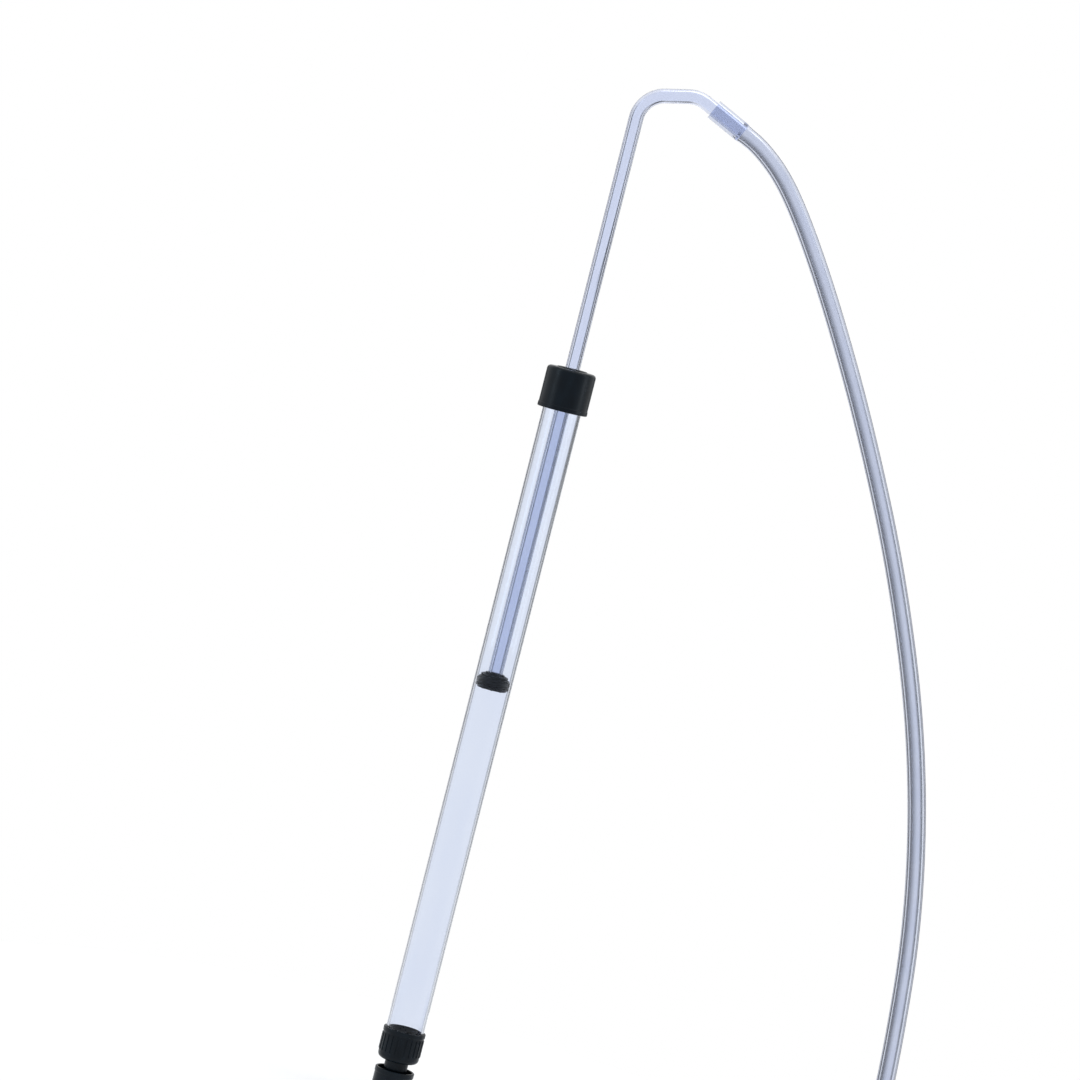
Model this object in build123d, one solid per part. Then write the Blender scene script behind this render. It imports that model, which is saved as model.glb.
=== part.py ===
from build123d import *
from math import cos, pi, radians, sin, sqrt, tan
import os

# Auto siphon for moving wine or beer between vessels. Millimetres.
# +Z runs up the outer tube, the hose leaves towards +X, and the origin is the
# centre of the sediment tip's flat foot. Each named piece is one STEP file.

# Outer tube: 1 inch clear acrylic
TUBE_R = 12.7
TUBE_BORE_R = 11.2
TUBE_BOTTOM_Z = 41.05
TUBE_TOP_Z = 488.7

# Racking cane: 3/8 inch acrylic tube with two bends at its top
CANE_R = 4.75
CANE_BORE_R = 3.2
CANE_BOTTOM_Z = 280.0
BEND_START_Z = 659.0
BEND_R = 19.0
CROWN_RISE_DEG = 12.5
CROWN_RUN = 15.0
OUTLET_DROP_DEG = 25.0
OUTLET_RUN = 30.0

# Hose: soft vinyl, pushed over the cane's outlet
HOSE_R = 6.0
HOSE_BORE_R = 4.0
HOSE_GRIP = 24.0
HOSE_GRIP_R = 6.6
HOSE_LENGTH = 1524.0

# The hose's way from the outlet down to the floor, ending level on it
HOSE_ROUTE = [
    (83.4, 0, 659.8),
    (102.2, 0, 644.2),
    (123.4, 0, 616.8),
    (153.4, 0, 570.6),
    (192.8, 0, 502.0),
    (237.8, -2, 412.0),
    (276.6, -9, 311.0),
    (300.6, -19, 207.7),
    (308.8, -26, 113.1),
    (310.0, -28, 49.7),
    (310.0, -12, 22.0),
    (310.0, 15.7, 6.0),
    (310.0, 47.7, 6.0),
]
COIL_R = 66.0
WAY_IN_HEIGHT = 21.0
TURN_FILL = 0.45

# Fits
GLUE_GAP = 0.05
LOOSE_GAP = 0.3

# Cap over the tube's top end
CAP_R = 16.5
CAP_TOP_Z = 493.0
CAP_HEIGHT = 28.0
CAP_PLATE = 4.0
CAP_HOLE_R = 8.0
CAP_SLEEVE = 1.3
CAP_SKIRT = 1.4
CAP_RIBS = 12

# Piston on the cane's lower end
PISTON_HUB_R = 6.4
PISTON_FLANGE_R = 9.6
PISTON_BOTTOM_Z = 278.5
SEAL_BOTTOM_Z = 280.05
SEAL_SIDE = 3.9
SEAL_HEIGHT = 7.2
WASHER_R = 9.0
WASHER_THICK = 1.3

# Foot: valve housing, its check valve and the sediment tip
HOUSING_R = 14.0
HOUSING_BOTTOM_Z = 28.0
HOUSING_TOP_Z = 49.0
NECK_R = 7.75
NECK_BOTTOM_Z = 22.0
NIPPLE_R = 6.0
NIPPLE_BOTTOM_Z = 5.0
INLET_R = 3.5
CHAMBER_R = 5.75
SEAT_Z = 24.0
SEAT_THICK = 2.0
BALL_R = 4.75
CAGE_Z = 39.0
CAGE_THICK = 2.0
CAGE_R = 12.6
TIP_R = 13.0
TIP_WALL = 1.6
TIP_FLOOR = 2.0
TIP_RIM_Z = 22.0

# Tie round the coiled hose
TIE_WIDTH = 9.0
TIE_THICK = 0.9
TIE_BOTTOM_Z = 5.0
TIE_TOP_Z = 31.0


def ring(outer_r, inner_r, low_z, high_z):
    """A plain hollow cylinder on the tube's axis."""
    height = high_z - low_z
    sleeve = Cylinder(outer_r, height) - Cylinder(inner_r, height)
    return Pos(0, 0, low_z + height / 2) * sleeve


def turned(points):
    """A solid of revolution from an outline of (radius, height) points."""
    outline = Polyline([(r, 0, z) for r, z in points], close=True)
    return revolve(make_face(outline), Axis.Z)


def edges_at(shape, radius, z):
    """The circular edges of a turned shape with this radius at this height."""
    found = []
    for edge in shape.edges().filter_by(GeomType.CIRCLE):
        if abs(edge.radius - radius) < 0.01 and abs(edge.center().Z - z) < 0.01:
            found.append(edge)
    return found


def pipe(path, outer_r, inner_r):
    """A hollow tube along a path."""
    start = Plane(origin=path @ 0, z_dir=path % 0)
    section = start * (Circle(outer_r) - Circle(inner_r))
    return sweep(section, path)


def make_outer_tube():
    tube = ring(TUBE_R, TUBE_BORE_R, TUBE_BOTTOM_Z, TUBE_TOP_Z)
    return chamfer(edges_at(tube, TUBE_R, TUBE_TOP_Z), 0.4)


def make_top_cap():
    low_z = CAP_TOP_Z - CAP_HEIGHT
    under_z = CAP_TOP_Z - CAP_PLATE
    sleeve_in = TUBE_R + GLUE_GAP
    sleeve_out = sleeve_in + CAP_SLEEVE
    skirt_in = CAP_R - CAP_SKIRT
    cap = turned([(CAP_HOLE_R, under_z), (CAP_HOLE_R, CAP_TOP_Z), (CAP_R, CAP_TOP_Z),
                  (CAP_R, low_z), (skirt_in, low_z), (skirt_in, under_z)])
    cap = fillet(edges_at(cap, CAP_R, CAP_TOP_Z), 2.8)
    cap = fillet(edges_at(cap, CAP_HOLE_R, CAP_TOP_Z), 1.0)
    cap += ring(sleeve_out, sleeve_in, low_z, under_z)
    rib_height = under_z - low_z - 2.0
    rib_reach = skirt_in - sleeve_out + 0.6
    rib = Pos((sleeve_out + skirt_in) / 2, 0, under_z - rib_height / 2) * Box(rib_reach, 1.2, rib_height)
    for turn in range(CAP_RIBS):
        cap += Rot(0, 0, turn * 360 / CAP_RIBS) * rib
    return cap


def outlet_points():
    """Corner points of the racking cane's centre line, from its foot to its outlet."""
    rise = radians(CROWN_RISE_DEG)
    drop = radians(OUTLET_DROP_DEG)
    first_tangent = BEND_R * tan((pi / 2 - rise) / 2)
    second_tangent = BEND_R * tan((rise + drop) / 2)
    crown = first_tangent + CROWN_RUN + second_tangent
    leg = second_tangent + OUTLET_RUN
    corner = Vector(0, 0, BEND_START_Z + first_tangent)
    shoulder = corner + Vector(crown * cos(rise), 0, crown * sin(rise))
    outlet = shoulder + Vector(leg * cos(drop), 0, -leg * sin(drop))
    return [Vector(0, 0, CANE_BOTTOM_Z), corner, shoulder, outlet]


def make_racking_cane():
    centre_line = FilletPolyline(outlet_points(), radius=[BEND_R, BEND_R])
    return pipe(centre_line, CANE_R, CANE_BORE_R)


def make_piston_head():
    hub_top_z = SEAL_BOTTOM_Z + SEAL_HEIGHT + WASHER_THICK + 1.0
    step_z = CANE_BOTTOM_Z - GLUE_GAP
    return turned([(CANE_BORE_R, PISTON_BOTTOM_Z), (PISTON_FLANGE_R - 0.8, PISTON_BOTTOM_Z),
                   (PISTON_FLANGE_R, PISTON_BOTTOM_Z + 0.8), (PISTON_FLANGE_R, SEAL_BOTTOM_Z - GLUE_GAP),
                   (PISTON_HUB_R, SEAL_BOTTOM_Z - GLUE_GAP), (PISTON_HUB_R, hub_top_z - 0.5),
                   (PISTON_HUB_R - 0.5, hub_top_z), (CANE_R + GLUE_GAP, hub_top_z),
                   (CANE_R + GLUE_GAP, step_z), (CANE_BORE_R, step_z)])


def make_piston_seal():
    """Rubber seal: two lips on the bore, a groove between them and a domed shoulder."""
    inner = PISTON_HUB_R + GLUE_GAP
    lip = TUBE_BORE_R - GLUE_GAP
    low = SEAL_BOTTOM_Z
    side = low + SEAL_SIDE
    top = low + SEAL_HEIGHT
    groove = low + SEAL_SIDE / 2
    with BuildPart() as seal:
        with BuildSketch(Plane.XZ):
            with BuildLine():
                Polyline((inner, top), (inner, low), (lip - 0.5, low), (lip, low + 0.5),
                         (lip, groove - 0.9), (lip - 0.9, groove), (lip, groove + 0.9), (lip, side))
                ThreePointArc((lip, side), (lip - 1.1, side + 2.1), (WASHER_R - 1.0, top))
                Line((WASHER_R - 1.0, top), (inner, top))
            make_face()
        revolve(axis=Axis.Z)
    return seal.part


def make_seal_washer():
    low = SEAL_BOTTOM_Z + SEAL_HEIGHT + GLUE_GAP
    washer = ring(WASHER_R, PISTON_HUB_R + GLUE_GAP, low, low + WASHER_THICK)
    return fillet(edges_at(washer, WASHER_R, low + WASHER_THICK), 0.5)


def make_valve_housing():
    socket_r = TUBE_R + GLUE_GAP
    ledge_r = CAGE_R - 1.8
    housing = turned([(INLET_R + 1.0, NIPPLE_BOTTOM_Z), (NIPPLE_R - 0.6, NIPPLE_BOTTOM_Z),
                      (NIPPLE_R, NIPPLE_BOTTOM_Z + 1.5), (NIPPLE_R, NECK_BOTTOM_Z),
                      (NECK_R, NECK_BOTTOM_Z), (NECK_R, HOUSING_BOTTOM_Z),
                      (HOUSING_R, HOUSING_BOTTOM_Z), (HOUSING_R, HOUSING_TOP_Z),
                      (socket_r, HOUSING_TOP_Z), (socket_r, CAGE_Z), (ledge_r, CAGE_Z),
                      (ledge_r, CAGE_Z - 2.5), (CHAMBER_R, CAGE_Z - 6.5), (CHAMBER_R, SEAT_Z),
                      (INLET_R, SEAT_Z), (INLET_R, NIPPLE_BOTTOM_Z + 1.0)])
    housing = fillet(edges_at(housing, HOUSING_R, HOUSING_BOTTOM_Z), 3.5)
    return fillet(edges_at(housing, HOUSING_R, HOUSING_TOP_Z), 0.8)


def make_valve_seat():
    return ring(CHAMBER_R - GLUE_GAP, INLET_R, SEAT_Z + GLUE_GAP, SEAT_Z + SEAT_THICK)


def make_valve_ball():
    """The ball rests just clear of the round edge of the seat's hole."""
    rise = sqrt(BALL_R ** 2 - INLET_R ** 2)
    return Pos(0, 0, SEAT_Z + SEAT_THICK + rise + GLUE_GAP) * Sphere(BALL_R)


def make_ball_cage():
    """A flat spoked disc that keeps the ball in its chamber and lets the liquid pass."""
    low = CAGE_Z + GLUE_GAP / 2
    high = CAGE_Z + CAGE_THICK
    cage = ring(CAGE_R, CAGE_R - 2.6, low, high)
    middle = (low + high) / 2
    cage += Pos(0, 0, middle) * Cylinder(3.2, high - low)
    for turn in (0, 90):
        cage += Pos(0, 0, middle) * Rot(0, 0, turn) * Box(2 * CAGE_R - 3.0, 2.2, high - low)
    return cage


def make_sediment_tip():
    """A closed cup: the liquid comes in over its rim, above the sediment."""
    inner_r = TIP_R - TIP_WALL
    cup = turned([(0, 0), (TIP_R, 0), (TIP_R, TIP_RIM_Z), (inner_r, TIP_RIM_Z),
                  (inner_r, TIP_FLOOR), (0, TIP_FLOOR)])
    cup = fillet(edges_at(cup, TIP_R, 0), 1.8)
    cup = fillet(edges_at(cup, TIP_R, TIP_RIM_Z), 0.7)
    fin_in = NIPPLE_R + GLUE_GAP
    fin_height = TIP_RIM_Z - TIP_FLOOR - 3.0
    fin_reach = inner_r - fin_in + 0.6
    fin = Pos(fin_in + fin_reach / 2, 0, TIP_FLOOR + fin_height / 2) * Box(fin_reach, 1.6, fin_height)
    for turn in range(4):
        cup += Rot(0, 0, 45 + turn * 90) * fin
    return cup - ring(fin_in, 0.01, TIP_FLOOR, TIP_RIM_Z)


def outlet_direction():
    shoulder, outlet = outlet_points()[-2:]
    return (outlet - shoulder).normalized()


def hose_start():
    """Where the hose's free length begins, just past the outlet's end."""
    return outlet_points()[-1] + outlet_direction() * GLUE_GAP


def hose_corners():
    """The route with, for each corner, the widest arc that its two runs allow."""
    points = [hose_start()] + [Vector(*point) for point in HOSE_ROUTE]
    radii = []
    for before, corner, after in zip(points, points[1:], points[2:]):
        turn = (corner - before).get_angle(after - corner)
        shorter = min((corner - before).length, (after - corner).length)
        radii.append(TURN_FILL * shorter / tan(radians(turn / 2)))
    return points, radii


def make_hose_drop():
    points, radii = hose_corners()
    print("hose arc radii:", [round(radius) for radius in radii])
    path = FilletPolyline(points, radius=radii)
    hose = pipe(path, HOSE_R, HOSE_BORE_R)
    section = pi * (HOSE_R ** 2 - HOSE_BORE_R ** 2)
    print(f"hose drop: {path.length:.1f} long, volume / (section x length) {hose.volume / section / path.length:.4f}")
    grip_line = Line(hose_start() - outlet_direction() * HOSE_GRIP, hose_start())
    grip = pipe(grip_line, HOSE_GRIP_R, CANE_R + GLUE_GAP)
    return hose + grip, path.length + HOSE_GRIP


def coil_centre():
    end = Vector(*HOSE_ROUTE[-1])
    return Pos(end.X - COIL_R, end.Y, 0)


def make_hose_coil(length):
    """The outer shape of the wound hose, cut away where the hose comes in under it."""
    turns = length / (2 * pi * COIL_R)
    height = 2 * HOSE_R * (1 + turns)
    coil = coil_centre() * ring(COIL_R + HOSE_R, COIL_R - HOSE_R, 0, height)
    end = Vector(*HOSE_ROUTE[-1])
    way_in = Box(4 * HOSE_R, 60.0, WAY_IN_HEIGHT, align=(Align.CENTER, Align.MAX, Align.MIN))
    print(f"hose coil: {turns:.2f} turns, {height:.1f} high")
    return coil - Pos(end.X, end.Y + LOOSE_GAP, 0) * way_in


def make_coil_tie():
    """A flat strap round the coil's section, opposite the place where the hose comes in."""
    inner_wide = 2 * HOSE_R + 1.0
    height = TIE_TOP_Z - TIE_BOTTOM_Z
    band = extrude(RectangleRounded(inner_wide + 2 * TIE_THICK, height, 3.0)
                   - RectangleRounded(inner_wide, height - 2 * TIE_THICK, 2.2), TIE_WIDTH / 2, both=True)
    return coil_centre() * Pos(-COIL_R, 0, (TIE_BOTTOM_Z + TIE_TOP_Z) / 2) * Rot(90, 0, 0) * band


hose_drop, drop_length = make_hose_drop()
parts = {
    "outer_tube": make_outer_tube(),
    "top_cap": make_top_cap(),
    "racking_cane": make_racking_cane(),
    "piston_head": make_piston_head(),
    "piston_seal": make_piston_seal(),
    "seal_washer": make_seal_washer(),
    "valve_housing": make_valve_housing(),
    "valve_seat": make_valve_seat(),
    "valve_ball": make_valve_ball(),
    "ball_cage": make_ball_cage(),
    "sediment_tip": make_sediment_tip(),
    "hose_drop": hose_drop,
    "hose_coil": make_hose_coil(HOSE_LENGTH - drop_length),
    "coil_tie": make_coil_tie(),
}

os.makedirs("parts", exist_ok=True)
for name, part in parts.items():
    export_step(part, f"parts/{name}.step")
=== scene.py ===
from math import cos, pi, radians, sin, tan

import bmesh
import bpy
from mathutils import Matrix, Vector


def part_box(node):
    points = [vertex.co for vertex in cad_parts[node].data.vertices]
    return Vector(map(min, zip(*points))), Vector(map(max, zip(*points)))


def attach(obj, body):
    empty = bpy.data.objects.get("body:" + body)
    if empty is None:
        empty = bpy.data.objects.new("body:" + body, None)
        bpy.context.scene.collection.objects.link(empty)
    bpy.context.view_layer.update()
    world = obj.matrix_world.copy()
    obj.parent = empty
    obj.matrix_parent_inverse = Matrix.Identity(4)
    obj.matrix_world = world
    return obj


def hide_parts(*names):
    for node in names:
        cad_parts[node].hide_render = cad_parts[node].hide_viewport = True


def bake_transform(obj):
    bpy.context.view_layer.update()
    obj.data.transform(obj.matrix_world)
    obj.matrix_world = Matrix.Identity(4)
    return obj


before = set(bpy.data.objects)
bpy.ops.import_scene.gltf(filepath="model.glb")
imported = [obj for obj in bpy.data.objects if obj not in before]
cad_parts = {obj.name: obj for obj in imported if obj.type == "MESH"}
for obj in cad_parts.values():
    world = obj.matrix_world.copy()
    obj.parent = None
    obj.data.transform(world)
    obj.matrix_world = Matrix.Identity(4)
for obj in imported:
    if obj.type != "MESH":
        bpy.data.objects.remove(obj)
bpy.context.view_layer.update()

MM = 0.001

# Camera: the photograph's view, rolled so that the siphon leans to the right
CAMERA_ROLL = radians(14.2)
CAMERA_PITCH = radians(4.0)
CAMERA_DISTANCE = 2.95
CAMERA_TARGET = Vector((0.0068, 0.0, 0.3805))
CAMERA_LENS = 152.0
CAMERA_SENSOR = 36.0
CAMERA_REACH = 60.0

# How finely meshes are drawn: facets round a tube or turned piece, steps in a rounded corner and in a bend,
# and the angle (degrees) above which an edge stays sharp
ROUND_STEPS = 128
CANE_STEPS = 64
HOSE_STEPS = 48
CORNER_STEPS = 5
BEND_STEPS = 24
SHARP_ANGLE = 35.0
TIE_SHARP_ANGLE = 50.0
# A smaller radius than this counts as on the axis, and a rib's edges are this share of its thinnest side
ON_AXIS = 1e-7
RIB_BEVEL = 0.2

# Hose: its size, the end that is stretched over the outlet, and its way to the floor, as in the CAD source
HOSE_LENGTH = 1.524
HOSE_R = 6.0 * MM
HOSE_BORE_R = 4.0 * MM
HOSE_GRIP = 24.0 * MM
HOSE_GRIP_R = 6.6 * MM
HOSE_GRIP_BORE_R = 4.8 * MM
HOSE_EASE = 5.0 * MM
HOSE_EASE_EARLY = 2.0 * MM
HOSE_LINE_STEPS = 10
HOSE_ROUTE = [
    (0.0834, 0, 0.6598),
    (0.1022, 0, 0.6442),
    (0.1234, 0, 0.6168),
    (0.1534, 0, 0.5706),
    (0.1928, 0, 0.5020),
    (0.2378, -0.002, 0.4120),
    (0.2766, -0.009, 0.3110),
    (0.3006, -0.019, 0.2077),
    (0.3088, -0.026, 0.1131),
    (0.3100, -0.028, 0.0497),
    (0.3100, -0.012, 0.0220),
    (0.3100, 0.0157, 0.0060),
    (0.3100, 0.0477, 0.0060),
]
COIL_R = 66.0 * MM
COIL_PITCH = 12.1 * MM
COIL_POINTS = 16

# Tubes: the outer tube's wall (millimetres), and the cane's bore, end chamfers, bends and outlet
TUBE_WALL = 1.5
CANE_BORE_R = 3.2 * MM
CANE_LIP = 0.5 * MM
CANE_CHAMFER = 0.3 * MM
BEND_START_Z = 0.659
BEND_R = 19.0 * MM
CROWN_RISE = radians(12.5)
CROWN_RUN = 15.0 * MM
OUTLET_DROP = radians(25.0)
OUTLET_RUN = 30.0 * MM

# Turned pieces: corners (radius, height above the piece's base, rounding), in millimetres
CAP_CORNERS = [
    (8.0, 24.0, 0.4), (8.0, 28.0, 0.9), (9.7, 28.0, 0.6), (10.1, 27.4, 0.4), (16.2, 27.4, 2.4),
    (16.2, 3.2, 0.5), (16.5, 2.7, 0.3), (16.5, 0, 0.7), (15.1, 0, 0.4), (15.1, 24.0, 0.6),
    (14.05, 24.0, 0.3), (14.05, 0, 0.35), (12.75, 0, 0.35), (12.75, 24.0, 0.3),
]
HUB_CORNERS = [
    (3.2, 0.3, 0.25), (9.6, 0.3, 0.5), (9.6, 1.5, 0.25), (6.4, 1.5, 0.1), (6.4, 11.05, 0.6),
    (4.8, 11.05, 0.3), (4.8, 1.45, 0), (3.2, 1.45, 0),
]
SEAL_CORNERS = [
    (6.45, 0, 0.2), (10.6, 0, 0.3), (11.15, 0.5, 0.3), (11.15, 1.4, 0.25), (10.35, 1.8, 0.2),
    (10.35, 2.2, 0.2), (11.15, 2.6, 0.25), (11.15, 4.6, 1.4), (9.9, 6.3, 1.2), (8.2, 7.2, 0.7),
    (6.45, 7.2, 0.2),
]
WASHER_CORNERS = [
    (6.45, 0, 0.1), (9.0, 0, 0.2), (9.0, 0.9, 0.4), (7.9, 0.9, 0.1), (7.7, 1.3, 0.2), (6.45, 1.3, 0.2),
]
HOUSING_CORNERS = [
    (3.5, 1.0, 0.2), (4.5, 0, 0.2), (5.4, 0, 0.3), (6.0, 1.5, 0.6), (6.0, 17.0, 0.3),
    (7.75, 17.0, 0.4), (7.75, 23.0, 0.9), (13.6, 23.0, 3.2), (13.6, 40.6, 0.4), (14.0, 41.1, 0.3),
    (14.0, 44.0, 0.8), (12.75, 44.0, 0.3), (12.75, 34.0, 0.2), (10.8, 34.0, 0.3), (10.8, 31.5, 0.4),
    (5.75, 27.5, 0.8), (5.75, 19.0, 0.1), (3.5, 19.0, 0.1),
]
CUP_CORNERS = [
    (0, 0.5, 0), (9.3, 0.5, 0.3), (9.9, 0, 0.3), (13.0, 0, 1.9), (13.0, 4.6, 0.4), (12.75, 5.0, 0.4),
    (12.75, 18.6, 0.4), (13.0, 19.0, 0.4), (13.0, 22.0, 0.7), (11.4, 22.0, 0.6), (11.4, 2.0, 0.9),
    (0, 2.0, 0),
]

# Tie: its strap, how far it laps over its own start, and how its two ends thin out
TIE_THICK = 0.9 * MM
TIE_BEVEL = 0.25 * MM
TIE_CORNER_R = 2.6 * MM
TIE_CORNER_PARTS = 6
TIE_LAP_POINTS = 13
TIE_RAMP_POINTS = 3
TIE_LAP_LIFT = 1.1
TIE_END_THIN = 0.45
TIE_END_NARROW = 1.2 * MM

# Stage: the floor's disc, just under the foot
FLOOR_R = 0.36
FLOOR_Z = -0.0002

# World: its greyer front, which fades to white between these two cosines of the angle from straight back
FRONT_COLOUR = (0.62, 0.64, 0.69)
FRONT_COSINE = -0.75
SIDE_COSINE = -0.2
# Dark flags: direction, full inside, gone outside (radians), and how much light is left
FLAGS = [
    ((-0.45, 0.89, 0.0), 0.09, 0.27, 0.10),
    ((0.48, 0.88, 0.0), 0.09, 0.27, 0.12),
]

# Dark card behind the hose, which paints a line of shade down its left side: how far behind, how many route
# points it follows, and its darkness by the angle (degrees) that the hose bends light
CARD_GAP = 0.12
CARD_POINTS = 10
CARD_SHADES = [(-7, 0.0), (0, 0.38), (5, 0.68), (12, 0.86), (26, 0.88), (38, 0.78), (46, 0.0)]
CARD_COLOUR = (0.005, 0.005, 0.005, 1)

# Soft lights: name, place, aim, size, power, colour
LIGHTS = [
    ("overhead", (0.4, 0.3, 2.6), (0.1, 0, 0.3), (2.4, 2.4), 18.0, (1, 1, 1)),
    ("right_strip", (1.5, -0.35, 0.9), (0, 0, 0.4), (0.50, 1.6), 4.5, (0.85, 0.93, 1.0)),
    ("left_strip", (-1.4, -0.7, 0.9), (0, 0, 0.4), (0.45, 1.6), 5.0, (0.72, 0.88, 1.0)),
]


# ---------------------------------------------------------------- camera

def make_camera():
    """The photograph's camera: far off, a little above, and rolled."""
    right = Vector((cos(CAMERA_ROLL), 0, sin(CAMERA_ROLL)))
    image_up = Vector((-sin(CAMERA_ROLL), 0, cos(CAMERA_ROLL)))
    back = Vector((0, -cos(CAMERA_PITCH), 0)) + image_up * sin(CAMERA_PITCH)
    up = back.cross(right)
    camera = new_object("camera", bpy.data.cameras.new("camera"))
    place = Matrix((right, up, back)).transposed().to_4x4()
    place.translation = CAMERA_TARGET + back * CAMERA_DISTANCE
    camera.matrix_world = place
    camera.data.lens = CAMERA_LENS
    camera.data.sensor_width = CAMERA_SENSOR
    camera.data.clip_end = CAMERA_REACH
    bpy.context.scene.camera = camera


# ---------------------------------------------------------------- mesh tools

def new_object(name, data):
    made = bpy.data.objects.new(name, data)
    bpy.context.scene.collection.objects.link(made)
    return made


def round_angles(steps):
    """The angles of one full turn, in equal steps."""
    return [2 * pi * k / steps for k in range(steps)]


def rounded(corners):
    """An outline of (radius, height) points, from corners (radius, height, rounding)."""
    points = []
    count = len(corners)
    for i, (x, z, r) in enumerate(corners):
        here = Vector((x, z))
        if r <= 0:
            points.append((x, z))
            continue
        back = Vector(corners[i - 1][:2]) - here
        ahead = Vector(corners[(i + 1) % count][:2]) - here
        back.normalize()
        ahead.normalize()
        half = back.angle(ahead) / 2
        tangent = r / tan(half)
        centre = here + (back + ahead).normalized() * (r / sin(half))
        first = here + back * tangent - centre
        turn = pi - 2 * half
        side = 1 if back.x * ahead.y - back.y * ahead.x > 0 else -1
        for step in range(CORNER_STEPS + 1):
            a = -side * turn * step / CORNER_STEPS
            points.append((centre.x + first.x * cos(a) - first.y * sin(a),
                           centre.y + first.x * sin(a) + first.y * cos(a)))
    return points


def join_loops(bm, near, far):
    """Adds the faces between two loops of vertices. Where a loop is one shared vertex, they are triangles."""
    count = len(near)
    for k in range(count):
        corners = [near[k], near[(k + 1) % count], far[(k + 1) % count], far[k]]
        distinct = list(dict.fromkeys(corners))
        if len(distinct) > 2:
            bm.faces.new(distinct)


def lathe(bm, outline):
    """Adds a closed outline turned about Z. A point on the axis makes one shared vertex."""
    rings = []
    for radius, height in outline:
        if radius < ON_AXIS:
            rings.append([bm.verts.new((0, 0, height))] * ROUND_STEPS)
        else:
            rings.append([bm.verts.new((radius * cos(a), radius * sin(a), height))
                          for a in round_angles(ROUND_STEPS)])
    for low, high in zip(rings, rings[1:] + rings[:1]):
        join_loops(bm, low, high)


def turned(base, corners):
    """A mesh turned about Z from corners (radius, height above base, rounding), in millimetres."""
    bm = bmesh.new()
    lathe(bm, [(radius * MM, base + height * MM) for radius, height in rounded(corners)])
    return bm


def box(bm, size, place):
    """Adds a box with slightly rounded edges, for a moulded rib."""
    made = bmesh.ops.create_cube(bm, size=1.0, matrix=place @ Matrix.Diagonal((*size, 1.0)))
    edges = list({edge for vert in made["verts"] for edge in vert.link_edges})
    bmesh.ops.bevel(bm, geom=edges, offset=min(size) * RIB_BEVEL, segments=2, affect="EDGES", profile=0.5)


def add_ribs(bm, count, first, size, radius, height):
    """Adds upright ribs round Z, from the angle first. size is (radial, across, tall), all in metres."""
    for k in range(count):
        turn = Matrix.Rotation(first + 2 * pi * k / count, 4, "Z")
        box(bm, size, turn @ Matrix.Translation((radius, 0, height)))


def finish_mesh(bm, name, sharp_angle=SHARP_ANGLE):
    """A smooth-shaded piece from bm, which is used up."""
    bmesh.ops.recalc_face_normals(bm, faces=bm.faces)
    data = bpy.data.meshes.new(name)
    bm.to_mesh(data)
    bm.free()
    for face in data.polygons:
        face.use_smooth = True
    data.set_sharp_from_angle(angle=radians(sharp_angle))
    made = new_object(name, data)
    made.modifiers.new("weighted", "WEIGHTED_NORMAL").keep_sharp = True
    return made


def heading(points, i):
    """The way that a line of points runs at point i, not of unit length."""
    return points[min(i + 1, len(points) - 1)] - points[max(i - 1, 0)]


def frames_along(points):
    """Square axes at each point of a line that doesn't start along Y, carried along without twist."""
    directions = [heading(points, i).normalized() for i in range(len(points))]
    side = (Vector((0, 1, 0)) - directions[0] * directions[0].y).normalized()
    axes = []
    for direction in directions:
        side = (side - direction * side.dot(direction)).normalized()
        axes.append((side, direction.cross(side)))
    return axes


def hollow_tube(name, points, outer, inner, steps):
    """A tube with a bore along points; outer and inner give the two radii at each point."""
    bm = bmesh.new()
    axes = frames_along(points)
    loops = []
    for radii, order in ((outer, range(len(points))), (inner, reversed(range(len(points))))):
        for i in order:
            side, up = axes[i]
            loops.append([bm.verts.new(points[i] + (side * cos(a) + up * sin(a)) * radii[i])
                          for a in round_angles(steps)])
    for low, high in zip(loops, loops[1:] + loops[:1]):
        join_loops(bm, low, high)
    return finish_mesh(bm, name)


def dress(piece, material, body, slot, *nodes):
    """A new piece gets its material and its body, and the CAD nodes it stands for are hidden; slot is not
    used.
    """
    piece.data.materials.clear()
    piece.data.materials.append(material)
    if body:
        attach(piece, body)
    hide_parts(*nodes)
    return piece


# ---------------------------------------------------------------- materials

def start_material(name):
    """A Principled material with object coordinates in metres."""
    material = bpy.data.materials.new(name)
    material.use_nodes = True
    tree = material.node_tree
    shader = tree.nodes["Principled BSDF"]
    coordinates = tree.nodes.new("ShaderNodeTexCoord")
    return material, tree, shader, coordinates.outputs["Object"]


def noise(tree, vector, scale, stretch=(1, 1, 1), detail=4.0, rough=0.55):
    mapping = tree.nodes.new("ShaderNodeMapping")
    mapping.inputs["Scale"].default_value = stretch
    texture = tree.nodes.new("ShaderNodeTexNoise")
    texture.inputs["Scale"].default_value = scale
    texture.inputs["Detail"].default_value = detail
    texture.inputs["Roughness"].default_value = rough
    tree.links.new(vector, mapping.inputs["Vector"])
    tree.links.new(mapping.outputs["Vector"], texture.inputs["Vector"])
    return texture.outputs["Fac"]


def between(tree, value, low, high, start=0.3, end=0.7):
    """value, from start to end, mapped to low to high."""
    node = tree.nodes.new("ShaderNodeMapRange")
    for name, number in (("From Min", start), ("From Max", end), ("To Min", low), ("To Max", high)):
        node.inputs[name].default_value = number
    tree.links.new(value, node.inputs["Value"])
    return node.outputs["Result"]


def tint(tree, value, dark, light):
    """A colour from dark to light, as value goes from 0 to 1."""
    node = tree.nodes.new("ShaderNodeMix")
    node.data_type = "RGBA"
    node.inputs["A"].default_value = (*dark, 1)
    node.inputs["B"].default_value = (*light, 1)
    tree.links.new(value, node.inputs["Factor"])
    return node.outputs["Result"]


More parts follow.
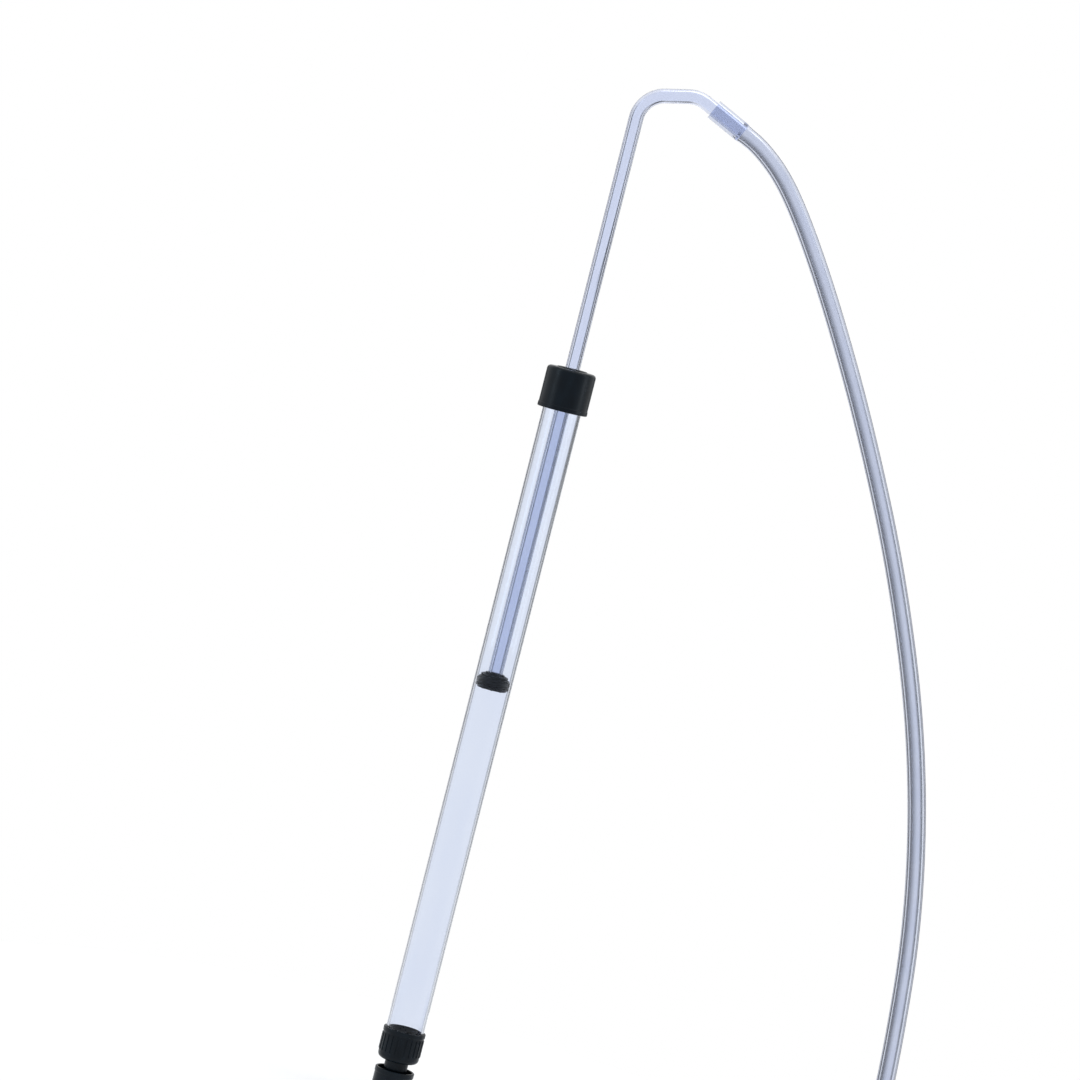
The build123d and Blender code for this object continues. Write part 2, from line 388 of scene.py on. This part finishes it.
def mix_shaders(tree, amount, first, second, output):
    """output gets first where amount is 0 and second where it is 1."""
    mix = tree.nodes.new("ShaderNodeMixShader")
    tree.links.new(amount, mix.inputs["Fac"])
    tree.links.new(first, mix.inputs[1])
    tree.links.new(second, mix.inputs[2])
    tree.links.new(mix.outputs["Shader"], tree.nodes[output].inputs["Surface"])


def add_bump(tree, shader, height, strength, distance):
    node = tree.nodes.new("ShaderNodeBump")
    node.inputs["Strength"].default_value = strength
    node.inputs["Distance"].default_value = distance
    tree.links.new(height, node.inputs["Height"])
    tree.links.new(node.outputs["Normal"], shader.inputs["Normal"])


def add_absorption(tree, colour, density):
    """Deeper colour where the eye looks through more plastic, as at a tube's edges."""
    absorb = tree.nodes.new("ShaderNodeVolumeAbsorption")
    absorb.inputs["Color"].default_value = (*colour, 1)
    absorb.inputs["Density"].default_value = density
    tree.links.new(absorb.outputs["Volume"], tree.nodes["Material Output"].inputs["Volume"])


def make_clear_plastic(name, dark, light, absorbed, density, roughness):
    """Clear extruded tube: faint draw lines along it, and light scuffs that dull it a little."""
    material, tree, shader, vector = start_material(name)
    shader.inputs["Transmission Weight"].default_value = 1.0
    shader.inputs["IOR"].default_value = 1.49
    shader.inputs["Specular Tint"].default_value = (0.35, 0.37, 0.40, 1)
    cloud = noise(tree, vector, 60.0, stretch=(1, 1, 0.25))
    tree.links.new(tint(tree, between(tree, cloud, 0, 1), dark, light), shader.inputs["Base Color"])
    scuffs = noise(tree, vector, 110.0, stretch=(1, 1, 0.12), detail=3.0, rough=0.6)
    tree.links.new(between(tree, scuffs, *roughness, start=0.45, end=0.75), shader.inputs["Roughness"])
    draw_lines = noise(tree, vector, 90.0, stretch=(1, 1, 0.02), detail=1.0)
    add_bump(tree, shader, draw_lines, strength=0.03, distance=0.0003)
    add_absorption(tree, absorbed, density)
    return material


def make_vinyl():
    """Soft translucent vinyl: cloudy, with a slightly dull skin."""
    material, tree, shader, vector = start_material("vinyl_hose")
    shader.inputs["Transmission Weight"].default_value = 1.0
    shader.inputs["IOR"].default_value = 1.53
    cloud = between(tree, noise(tree, vector, 45.0), 0, 1)
    tree.links.new(tint(tree, cloud, (0.80, 0.83, 0.91), (0.85, 0.875, 0.94)), shader.inputs["Base Color"])
    skin = noise(tree, vector, 70.0, detail=2.0)
    tree.links.new(between(tree, skin, 0.03, 0.07), shader.inputs["Roughness"])
    add_bump(tree, shader, noise(tree, vector, 40.0, detail=1.0), strength=0.04, distance=0.0006)
    add_absorption(tree, (0.30, 0.38, 0.60), density=80.0)
    return material


def make_moulded(name, dark, light, smoothest, dullest, grain, grain_scale=1400.0):
    """Moulded or rubber surface: fine grain, worn a little lighter and smoother in places."""
    material, tree, shader, vector = start_material(name)
    shader.inputs["Specular IOR Level"].default_value = 0.14
    wear = noise(tree, vector, 140.0, stretch=(1, 1, 0.5))
    lighter = between(tree, wear, 0, 1, start=0.35, end=0.75)
    tree.links.new(tint(tree, lighter, dark, light), shader.inputs["Base Color"])
    tree.links.new(between(tree, wear, dullest, smoothest), shader.inputs["Roughness"])
    add_bump(tree, shader, noise(tree, vector, grain_scale, detail=2.0), grain, distance=0.0001)
    return material


def make_glass_ball():
    """Greenish glass with a faint swirl."""
    material, tree, shader, vector = start_material("ball_glass")
    shader.inputs["Transmission Weight"].default_value = 1.0
    shader.inputs["IOR"].default_value = 1.52
    swirl = noise(tree, vector, 300.0)
    tree.links.new(tint(tree, between(tree, swirl, 0, 1), (0.55, 0.72, 0.66), (0.85, 0.93, 0.90)),
                   shader.inputs["Base Color"])
    tree.links.new(between(tree, swirl, 0.02, 0.10), shader.inputs["Roughness"])
    return material


def make_floor_material():
    """Pale paper lit to white. Seen through the plastic it is left out, or its far edge would show there."""
    material, tree, shader, vector = start_material("floor_paper")
    shade = noise(tree, vector, 6.0)
    tree.links.new(tint(tree, between(tree, shade, 0, 1), (0.52, 0.525, 0.53), (0.55, 0.555, 0.56)),
                   shader.inputs["Base Color"])
    shader.inputs["Roughness"].default_value = 0.9
    shader.inputs["Emission Color"].default_value = (1, 1, 1, 1)
    shader.inputs["Emission Strength"].default_value = 0.37
    through = tree.nodes.new("ShaderNodeLightPath").outputs["Is Transmission Ray"]
    tree.links.new(between(tree, through, 1.0, 0.0, start=0.0, end=1.0), shader.inputs["Alpha"])
    return material


def make_shade_card_material():
    """Clear to black, by how dark each point of the card is: painted shade, seen only through the hose."""
    material = bpy.data.materials.new("painted_shade_card")
    material.use_nodes = True
    tree = material.node_tree
    tree.nodes.remove(tree.nodes["Principled BSDF"])
    amount = tree.nodes.new("ShaderNodeAttribute")
    amount.attribute_name = "darkness"
    clear = tree.nodes.new("ShaderNodeBsdfTransparent")
    black = tree.nodes.new("ShaderNodeBsdfDiffuse")
    black.inputs["Color"].default_value = CARD_COLOUR
    mix_shaders(tree, amount.outputs["Fac"], clear.outputs["BSDF"], black.outputs["BSDF"], "Material Output")
    return material


# ---------------------------------------------------------------- cane and hose lines

def cane_line():
    """The cane's centre line: straight up, over two bends and down the outlet."""
    points = [Vector((0, 0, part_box("racking_cane")[0].z))]
    points.append(Vector((0, 0, BEND_START_Z)))
    turn = pi / 2 - CROWN_RISE
    for step in range(1, BEND_STEPS + 1):
        a = turn * step / BEND_STEPS
        points.append(Vector((BEND_R * (1 - cos(a)), 0, BEND_START_Z + BEND_R * sin(a))))
    along = Vector((cos(CROWN_RISE), 0, sin(CROWN_RISE)))
    points.append(points[-1] + along * CROWN_RUN)
    centre = points[-1] + Vector((sin(CROWN_RISE), 0, -cos(CROWN_RISE))) * BEND_R
    for step in range(1, BEND_STEPS + 1):
        a = -CROWN_RISE + (CROWN_RISE + OUTLET_DROP) * step / BEND_STEPS
        points.append(centre + Vector((sin(a), 0, cos(a))) * BEND_R)
    points.append(points[-1] + outlet_direction() * OUTLET_RUN)
    return points


def outlet_direction():
    return Vector((cos(OUTLET_DROP), 0, -sin(OUTLET_DROP)))


def outlet_end():
    """The centre of the cane's outlet face."""
    return cane_line()[-1]


def coil_points(length):
    """Control points of the wound hose: a neat helix, each turn on the one before."""
    end = Vector(HOSE_ROUTE[-1])
    centre = Vector((end.x - COIL_R, end.y, end.z))
    step = 2 * pi / COIL_POINTS
    # The spline runs this share of the way out to its control points
    reach = COIL_R / ((3 + cos(step)) / 4)
    count = round(length / (COIL_R * step))
    points = []
    for k in range(1, count + 1):
        a = k * step
        points.append(centre + Vector((reach * cos(a), reach * sin(a), COIL_PITCH * a / (2 * pi))))
    return points


def hose_centre_line():
    """The hose's smooth line, read from a NURBS spline with the route as control points."""
    outlet = outlet_end()
    route = [outlet - outlet_direction() * HOSE_GRIP, outlet] + [Vector(point) for point in HOSE_ROUTE]
    drop = sum((b - a).length for a, b in zip(route, route[1:]))
    route += coil_points(HOSE_LENGTH - drop)
    curve = bpy.data.curves.new("hose_line", "CURVE")
    curve.dimensions = "3D"
    curve.resolution_u = HOSE_LINE_STEPS
    spline = curve.splines.new("NURBS")
    spline.points.add(len(route) - 1)
    for control, point in zip(spline.points, route):
        control.co = (*point, 1.0)
    spline.order_u = 3
    spline.use_endpoint_u = True
    line = new_object("hose_line", curve)
    read = bpy.data.meshes.new_from_object(line)
    points = [vertex.co.copy() for vertex in read.vertices]
    bpy.data.objects.remove(line)
    return points


def make_hose(vinyl, tie):
    """The hose: stretched over the outlet, then free to its cut end."""
    points = hose_centre_line()
    outer, inner = [], []
    covered = 0.0
    for i, point in enumerate(points):
        if i:
            covered += (point - points[i - 1]).length
        stretch = 1 - min(max((covered - HOSE_GRIP + HOSE_EASE_EARLY) / HOSE_EASE, 0), 1)
        outer.append(HOSE_R + (HOSE_GRIP_R - HOSE_R) * stretch)
        inner.append(HOSE_BORE_R + (HOSE_GRIP_BORE_R - HOSE_BORE_R) * stretch)
    hose = hollow_tube("outlet_hose", points, outer, inner, HOSE_STEPS)
    dress(hose, vinyl, None, "vinyl_hose", "hose_drop", "hose_coil")
    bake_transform(hose)
    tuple(points[0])


# ---------------------------------------------------------------- rigid pieces

def make_outer_tube(acrylic):
    low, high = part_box("outer_tube")
    radius = high.x / MM
    bore = radius - TUBE_WALL
    tall = (high.z - low.z) / MM
    bm = turned(low.z, [(bore, 0, 0.3), (radius, 0, 0.3), (radius, tall, 0.5), (bore, tall, 0.3)])
    dress(finish_mesh(bm, "clear_outer_tube"), acrylic, "barrel", "clear_acrylic", "outer_tube")


def make_cane(acrylic):
    points = cane_line()
    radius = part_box("racking_cane")[1].y
    first = (points[1] - points[0]).normalized() * CANE_LIP
    last = (points[-1] - points[-2]).normalized() * CANE_LIP
    points = [points[0], points[0] + first] + points[1:-1] + [points[-1] - last, points[-1]]
    outer = [radius] * len(points)
    inner = [CANE_BORE_R] * len(points)
    for end in (0, -1):
        outer[end] -= CANE_CHAMFER
        inner[end] += CANE_CHAMFER
    piece = hollow_tube("clear_racking_cane", points, outer, inner, CANE_STEPS)
    dress(piece, acrylic, "cane", "cane_acrylic", "racking_cane")


def make_cap(plastic):
    """The cap: a skirt with a bead at its foot, a raised lip round the hole, and ribs to its sleeve."""
    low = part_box("top_cap")[0].z
    bm = turned(low, CAP_CORNERS)
    add_ribs(bm, 12, 0, (1.5 * MM, 1.2 * MM, 21.8 * MM), radius=14.6 * MM, height=low + 13.2 * MM)
    dress(finish_mesh(bm, "cap"), plastic, "cap", "black_plastic", "top_cap")


def make_piston(plastic, rubber):
    """The piston: a flanged hub, a two-lipped rubber seal with a domed shoulder, and its washer."""
    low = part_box("piston_head")[0].z
    bm = turned(low, HUB_CORNERS)
    add_ribs(bm, 8, 0, (4.4 * MM, 0.9 * MM, 0.6 * MM), radius=6.4 * MM, height=low + 0.3 * MM)
    dress(finish_mesh(bm, "piston_hub"), plastic, "cane", "piston_plastic", "piston_head")

    bm = turned(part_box("piston_seal")[0].z, SEAL_CORNERS)
    dress(finish_mesh(bm, "rubber_seal"), rubber, "cane", "black_rubber", "piston_seal")

    bm = turned(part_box("seal_washer")[0].z, WASHER_CORNERS)
    dress(finish_mesh(bm, "washer"), plastic, "cane", "piston_plastic", "seal_washer")


def make_foot(plastic):
    """The valve housing, with a ribbed grip, and the cup that keeps the inlet above the sediment."""
    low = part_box("valve_housing")[0].z
    bm = turned(low, HOUSING_CORNERS)
    add_ribs(bm, 24, 0, (0.9 * MM, 1.3 * MM, 11.5 * MM), radius=13.55 * MM, height=low + 34.0 * MM)
    dress(finish_mesh(bm, "foot_housing"), plastic, "barrel", "black_plastic", "valve_housing")

    bm = turned(0.0, CUP_CORNERS)
    add_ribs(bm, 4, pi / 4, (5.8 * MM, 1.6 * MM, 17.3 * MM), radius=8.95 * MM, height=10.45 * MM)
    dress(finish_mesh(bm, "sediment_cup"), plastic, "tip", "black_plastic", "sediment_tip")


def strap_line(wide, tall, corner, overlap):
    """Points and outward directions once round an upright rounded rectangle, and on past the start."""
    straights = [(wide / 2, 0, 1, 0), (0, tall / 2, 0, 1), (-wide / 2, 0, -1, 0), (0, -tall / 2, 0, -1)]
    line = []
    for k, (x, z, out_x, out_z) in enumerate(straights):
        middle, out, along = Vector((x, z)), Vector((out_x, out_z)), Vector((-out_z, out_x))
        half = (tall if k % 2 == 0 else wide) / 2 - corner
        for t in (-1.0, -0.5, 0.0, 0.5, 1.0):
            line.append((middle + along * t * half, out))
        centre = middle + along * half - out * corner
        for step in range(1, TIE_CORNER_PARTS):
            a = pi / 2 * step / TIE_CORNER_PARTS
            turned_out = Vector((out_x * cos(a) - out_z * sin(a), out_z * cos(a) + out_x * sin(a)))
            line.append((centre + turned_out * corner, turned_out))
    return line + line[:overlap]


def strap_section(half_thick, half_wide, bevel_out):
    """The strap's cross-section, with its four corners cut off, as (outward, sideways) points."""
    section = []
    for a, b in ((-1, -1), (-1, 1), (1, 1), (1, -1)):
        corner_out, corner_side = a * half_thick, b * half_wide
        first = (corner_out - a * bevel_out, corner_side)
        second = (corner_out, corner_side - b * TIE_BEVEL)
        section += [first, second] if a * b > 0 else [second, first]
    return section


def make_tie(cloth):
    """A strap wound once round the coil and a little past its own start, which it closes over."""
    low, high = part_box("coil_tie")
    middle = (low + high) / 2
    width = high.y - low.y
    wide, tall = high.x - low.x - TIE_THICK, high.z - low.z - TIE_THICK
    line = strap_line(wide, tall, TIE_CORNER_R, TIE_LAP_POINTS)
    lap = len(line) - TIE_LAP_POINTS
    bm = bmesh.new()
    loops = []
    for i, (place, out) in enumerate(line):
        lift = TIE_THICK * TIE_LAP_LIFT * min(max((i - lap + TIE_RAMP_POINTS) / TIE_RAMP_POINTS, 0), 1)
        at_end = i in (0, len(line) - 1)
        thin = TIE_END_THIN if at_end else 1.0
        half_wide = width / 2 - (TIE_END_NARROW if at_end else 0)
        section = strap_section(TIE_THICK / 2 * thin, half_wide, TIE_BEVEL * thin)
        loops.append([bm.verts.new((middle.x + place.x + out.x * (lift + across), middle.y + side,
                                    middle.z + place.y + out.y * (lift + across)))
                      for across, side in section])
    for near, far in zip(loops, loops[1:]):
        join_loops(bm, near, far)
    bm.faces.new(loops[0])
    bm.faces.new(loops[-1])
    return dress(finish_mesh(bm, "tie_strap", TIE_SHARP_ANGLE), cloth, "laid_hose", "tie_strap", "coil_tie")


def paint_node(name, material):
    """A CAD node that is kept as it is gets a new material."""
    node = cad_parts[name]
    node.data.materials.clear()
    node.data.materials.append(material)


# ---------------------------------------------------------------- stage

def make_floor(material):
    bm = bmesh.new()
    bmesh.ops.create_circle(bm, cap_ends=True, radius=FLOOR_R, segments=ROUND_STEPS)
    data = bpy.data.meshes.new("floor")
    bm.to_mesh(data)
    bm.free()
    floor = new_object("floor", data)
    floor.location.z = FLOOR_Z
    floor.data.materials.append(material)


def make_shade_card(material):
    """A dark card behind the hose, seen only through plastic, that paints a dark line of shade down its left
    side.
    """
    points = [outlet_end()] + [Vector(point) for point in HOSE_ROUTE[:CARD_POINTS]]
    bm = bmesh.new()
    darkness = bm.verts.layers.float.new("darkness")
    rows = []
    for i, point in enumerate(points):
        along = heading(points, i)
        left = Vector((along.z, 0, -along.x)).normalized()
        behind = point + Vector((0, CARD_GAP, -CARD_GAP * tan(CAMERA_PITCH)))
        row = []
        for angle, dark in CARD_SHADES:
            row.append(bm.verts.new(behind + left * CARD_GAP * tan(radians(angle))))
            row[-1][darkness] = dark
        rows.append(row)
    for upper, lower in zip(rows, rows[1:]):
        for k in range(len(CARD_SHADES) - 1):
            bm.faces.new((upper[k], upper[k + 1], lower[k + 1], lower[k]))
    data = bpy.data.meshes.new("hose_shade_card")
    bm.to_mesh(data)
    bm.free()
    data.materials.append(material)
    card = new_object("hose_shade_card", data)
    card.visible_camera = False
    card.visible_diffuse = False
    card.visible_glossy = False
    card.visible_shadow = False


def soft_light(name, place, aim, size, power, colour):
    data = bpy.data.lights.new(name, "AREA")
    data.shape = "RECTANGLE"
    data.size, data.size_y = size
    data.energy = power
    data.color = colour
    lamp = new_object(name, data)
    lamp.location = place
    lamp.rotation_euler = (Vector(place) - Vector(aim)).to_track_quat("Z", "Y").to_euler()


def toward(tree, direction, aim):
    """How nearly a direction points at aim: the cosine of the angle between them."""
    node = tree.nodes.new("ShaderNodeVectorMath")
    node.operation = "DOT_PRODUCT"
    node.inputs[1].default_value = Vector(aim).normalized()
    tree.links.new(direction, node.inputs[0])
    return node.outputs["Value"]


def make_world():
    """A white studio, greyer in front, with two dark flags that draw the clear plastic's edges.

    The camera itself sees plain white.
    """
    world = bpy.data.worlds.new("studio")
    bpy.context.scene.world = world
    world.use_nodes = True
    tree = world.node_tree
    room = tree.nodes["Background"]
    direction = tree.nodes.new("ShaderNodeTexCoord").outputs["Generated"]
    backward = toward(tree, direction, (0, 1, 0))
    back = between(tree, backward, 0.0, 1.0, start=FRONT_COSINE, end=SIDE_COSINE)
    tree.links.new(tint(tree, back, FRONT_COLOUR, (1.0, 1.0, 1.0)), room.inputs["Color"])
    strength = None
    for centre, inner, outer, darkest in FLAGS:
        nearness = toward(tree, direction, centre)
        shade = between(tree, nearness, 1.0, darkest, start=cos(outer), end=cos(inner))
        if strength:
            both = tree.nodes.new("ShaderNodeMath")
            both.operation = "MULTIPLY"
            tree.links.new(strength, both.inputs[0])
            tree.links.new(shade, both.inputs[1])
            shade = both.outputs["Value"]
        strength = shade
    tree.links.new(strength, room.inputs["Strength"])
    backdrop = tree.nodes.new("ShaderNodeBackground")
    backdrop.inputs["Color"].default_value = (1, 1, 1, 1)
    seen = tree.nodes.new("ShaderNodeLightPath").outputs["Is Camera Ray"]
    mix_shaders(tree, seen, room.outputs["Background"], backdrop.outputs["Background"], "World Output")


# ---------------------------------------------------------------- the scene

make_camera()
tie_cloth = make_moulded("tie_strap", dark=(0.02, 0.02, 0.022), light=(0.04, 0.04, 0.043),
                         smoothest=0.6, dullest=0.8, grain=0.5, grain_scale=1200.0)
make_hose(make_vinyl(), make_tie(tie_cloth))

clear_acrylic = make_clear_plastic("clear_acrylic", dark=(0.86, 0.895, 0.97), light=(0.89, 0.92, 0.98),
                                   absorbed=(0.40, 0.46, 0.60), density=40.0, roughness=(0.01, 0.04))
cane_acrylic = make_clear_plastic("cane_acrylic", dark=(0.82, 0.855, 0.95), light=(0.85, 0.88, 0.965),
                                  absorbed=(0.20, 0.30, 0.62), density=45.0, roughness=(0.10, 0.18))
black_plastic = make_moulded("black_plastic", dark=(0.0025, 0.005, 0.008), light=(0.005, 0.010, 0.015),
                             smoothest=0.24, dullest=0.40, grain=0.06)
piston_plastic = make_moulded("piston_plastic", dark=(0.005, 0.007, 0.009), light=(0.010, 0.012, 0.015),
                              smoothest=0.30, dullest=0.45, grain=0.08)
rubber = make_moulded("black_rubber", dark=(0.004, 0.006, 0.008), light=(0.009, 0.011, 0.014),
                      smoothest=0.42, dullest=0.62, grain=0.30, grain_scale=1800.0)

make_outer_tube(clear_acrylic)
make_cane(cane_acrylic)
make_cap(black_plastic)
make_piston(piston_plastic, rubber)
make_foot(black_plastic)
paint_node("ball_cage", black_plastic)
paint_node("valve_seat", rubber)
paint_node("valve_ball", make_glass_ball())

make_floor(make_floor_material())
# The hose's dark left line is painted shade, from this card
make_shade_card(make_shade_card_material())
make_world()
for light in LIGHTS:
    soft_light(*light)
bpy.context.scene.view_settings.view_transform = "Standard"
